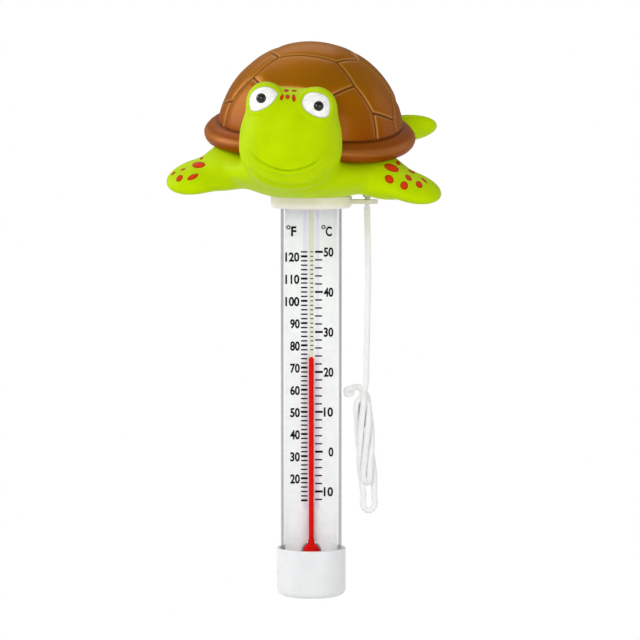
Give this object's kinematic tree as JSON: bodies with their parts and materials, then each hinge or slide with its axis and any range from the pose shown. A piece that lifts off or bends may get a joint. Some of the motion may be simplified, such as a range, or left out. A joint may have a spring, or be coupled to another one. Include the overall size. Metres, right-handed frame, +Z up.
{
  "type": "floating pool thermometer",
  "caption": "Pool thermometer with a turtle float on a clear stem, a red spirit column on a two-unit scale, a weighted end cap and a cord.",
  "frame": {"origin": "centre of the end cap's flat foot", "axes": "+Z up along the stem, -Y the side the scale and the turtle's face are on, +X towards the lanyard eyelet"},
  "size_m": [0.1106, 0.1122, 0.2216],
  "materials": {
    "white_plastic": "moulded, glossy white",
    "ivory_plastic": "moulded, semi-gloss ivory",
    "clear_plastic": "extruded clear acrylic",
    "glass": "drawn thermometer glass with a yellow backing",
    "card": "white printed card",
    "red_spirit": "red dyed spirit",
    "steel": "turned steel",
    "foam": "closed-cell foam",
    "black_rubber": "moulded black rubber",
    "green_vinyl": "soft lime green vinyl, satin",
    "brown_vinyl": "vinyl with bronze pearl paint",
    "white_cord": "braided white nylon cord"
  },
  "bodies": {
    "stem": {"end_cap": "white_plastic", "cap_gasket": "black_rubber", "ballast_weight": "steel", "bulb_cushion": "foam", "stem_tube": "clear_plastic", "scale_card": "card", "top_plug": "white_plastic", "capillary_glass": "glass", "spirit_bulb": "red_spirit", "spirit_column": "red_spirit", "collar": "ivory_plastic", "collar_seal_ring": "black_rubber", "tube_seal_ring": "black_rubber", "turtle_body": "green_vinyl", "turtle_shell": "brown_vinyl", "lanyard_knot": "white_cord"},
    "spirit_top": {"spirit_meniscus": "red_spirit"},
    "lanyard": {"lanyard_cord": "white_cord", "lanyard_hank": "white_cord"}
  },
  "joints": [
    {"name": "spirit_level", "type": "slide", "parent": "stem", "child": "spirit_top", "axis": [0, 0, 1], "range_m": [-0.058, 0.0419], "deforming": ["spirit_column"]},
    {"name": "lanyard_swing", "type": "hinge", "parent": "stem", "child": "lanyard", "pos_m": [0.0223, 0, 0.1556], "axis": [0, -1, 0], "range_deg": [0, 75]}
  ]
}
